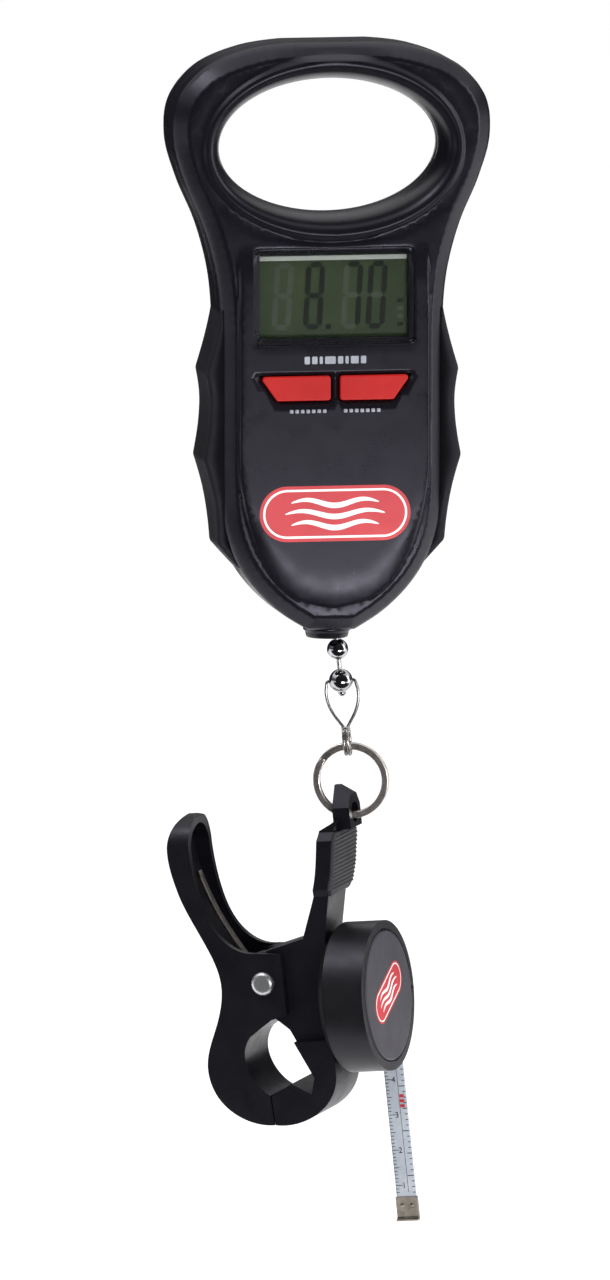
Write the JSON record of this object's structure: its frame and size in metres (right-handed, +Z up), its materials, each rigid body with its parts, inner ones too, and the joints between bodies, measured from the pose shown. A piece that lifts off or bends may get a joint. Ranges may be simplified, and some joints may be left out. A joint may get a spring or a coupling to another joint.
{
  "type": "digital fish scale",
  "caption": "Hand-held digital hanging scale with a finger loop, chain swivel, sprung lip gripper and pull-out tape measure.",
  "frame": {"origin": "centre of the hand opening, half way through the case", "axes": "+Z up, the display faces -Y, +X to the reader's right"},
  "size_m": [0.0896, 0.0552, 0.3336],
  "materials": {
    "black_plastic": "satin black ABS",
    "black_rubber": "matt black rubber",
    "clear_lens": "clear window",
    "lcd_glass": "grey-green display glass",
    "white_plastic": "white moulding",
    "conductive_rubber": "layered strip",
    "board": "green circuit board",
    "black_resin": "black resin and chip bodies",
    "steel": "zinc plated steel",
    "cell_label": "printed cell sleeve",
    "alloy": "machined",
    "stainless": "turned stainless",
    "wires": "insulated wire",
    "red_button": "red moulding",
    "nickel": "nickel plated",
    "gripper_plastic": "satin black glass-filled nylon",
    "grey_pad": "ribbed grey pad",
    "spring_steel": "oiled spring steel",
    "grey_plastic": "grey-black face",
    "brake_rubber": "brake ring",
    "inner_plastic": "acetal",
    "tape_film": "white printed tape",
    "tape_end_metal": "crimped tin tip"
  },
  "bodies": {
    "scale_body": {"front_shell": "black_plastic", "rear_shell": "black_plastic", "left_grip": "black_rubber", "right_grip": "black_rubber", "lcd_lens": "clear_lens", "lcd_panel": "lcd_glass", "lcd_holder": "white_plastic", "zebra_strips": "conductive_rubber", "main_board": "board", "board_components": "black_resin", "button_switches": "black_resin", "board_screws": "steel", "batteries": "cell_label", "battery_contacts": "steel", "case_screws": "steel", "load_cell": "alloy", "load_cell_screws": "steel", "load_stud": "stainless", "sensor_wires": "wires", "bottom_collar": "black_plastic"},
    "power_button": {"power_button": "red_button"},
    "units_button": {"units_button": "red_button"},
    "battery_door": {"battery_door": "black_plastic"},
    "pull_rod": {"pull_rod": "stainless", "bead_top": "nickel"},
    "bead_link": {"bead_link": "stainless"},
    "bead_bottom": {"bead_bottom": "nickel"},
    "wire_bail": {"wire_bail": "nickel"},
    "split_ring": {"split_ring": "nickel"},
    "gripper_frame": {"right_lever": "gripper_plastic", "finger_pad": "grey_pad", "pivot_pin": "nickel", "pivot_washer": "nickel", "jaw_spring": "spring_steel", "tape_base": "gripper_plastic", "tape_case": "gripper_plastic", "tape_axle": "inner_plastic", "tape_spring": "spring_steel", "tape_button_spring": "spring_steel", "tape_screws": "steel"},
    "left_lever": {"left_lever": "gripper_plastic"},
    "tape_end": {"tape_blade": "tape_film", "tape_hook": "tape_end_metal"},
    "tape_reel": {"tape_reel": "inner_plastic", "tape_coil": "tape_film"},
    "tape_button": {"tape_button": "grey_plastic", "tape_brake": "brake_rubber"}
  },
  "joints": [
    {"name": "power_press", "type": "slide", "parent": "scale_body", "child": "power_button", "axis": [0, 1, 0], "range_m": [0, 0.0008], "stiffness_N_per_m": 1500},
    {"name": "units_press", "type": "slide", "parent": "scale_body", "child": "units_button", "axis": [0, 1, 0], "range_m": [0, 0.0008], "stiffness_N_per_m": 1500},
    {"name": "battery_door_lift", "type": "slide", "parent": "scale_body", "child": "battery_door", "axis": [0, 1, 0], "range_m": [0, 0.025]},
    {"name": "rod_swing", "type": "hinge", "parent": "scale_body", "child": "pull_rod", "pos_m": [0, 0, -0.112], "axis": [0, 1, 0], "range_deg": [-0.8, 12.4]},
    {"name": "link_tilt", "type": "hinge", "parent": "pull_rod", "child": "bead_link", "pos_m": [0.00301, 0, -0.14114], "axis": [0.9347, -0.342, 0.0966], "range_deg": [-8, 8]},
    {"name": "swivel_spin", "type": "hinge", "parent": "bead_link", "child": "bead_bottom", "pos_m": [0.00393, 0, -0.15], "axis": [-0.1028, 0, 0.9947], "continuous": true},
    {"name": "bail_swing", "type": "hinge", "parent": "bead_bottom", "child": "wire_bail", "pos_m": [0.00393, 0, -0.15], "axis": [0.9347, -0.342, 0.0966], "range_deg": [-25, 25]},
    {"name": "ring_swing", "type": "hinge", "parent": "wire_bail", "child": "split_ring", "pos_m": [0.00582, 0, -0.1683], "axis": [0.9347, -0.342, 0.0966], "range_deg": [-30, 30]},
    {"name": "gripper_swing", "type": "hinge", "parent": "split_ring", "child": "gripper_frame", "pos_m": [0.00781, 0, -0.1876], "axis": [0.9347, -0.342, 0.0966], "range_deg": [-20, 20]},
    {"name": "jaw_open", "type": "hinge", "parent": "gripper_frame", "child": "left_lever", "pos_m": [-0.0123, 0.01435, -0.23481], "axis": [0.4974, 0.866, 0.0514], "range_deg": [0, 25], "stiffness_Nm_per_rad": 0.5, "springref_deg": -28.65, "deforming": ["jaw_spring"]},
    {"name": "tape_pull", "type": "slide", "parent": "gripper_frame", "child": "tape_end", "axis": [0.1028, 0, -0.9947], "range_m": [-0.0435, 0], "deforming": ["tape_blade"]},
    {"name": "reel_spin", "type": "hinge", "parent": "gripper_frame", "child": "tape_reel", "pos_m": [0.01119, 0.0011, -0.23882], "axis": [-0.8614, 0.5, -0.089], "range_deg": [-156, 0], "deforming": ["tape_spring"]},
    {"name": "tape_button_press", "type": "slide", "parent": "gripper_frame", "child": "tape_button", "axis": [-0.8614, 0.5, -0.089], "range_m": [0, 0.0006], "stiffness_N_per_m": 3000, "deforming": ["tape_button_spring"]}
  ],
  "couplings": [
    {"joint": "reel_spin", "follows": "tape_pull", "rad_per_m": 62.5}
  ]
}
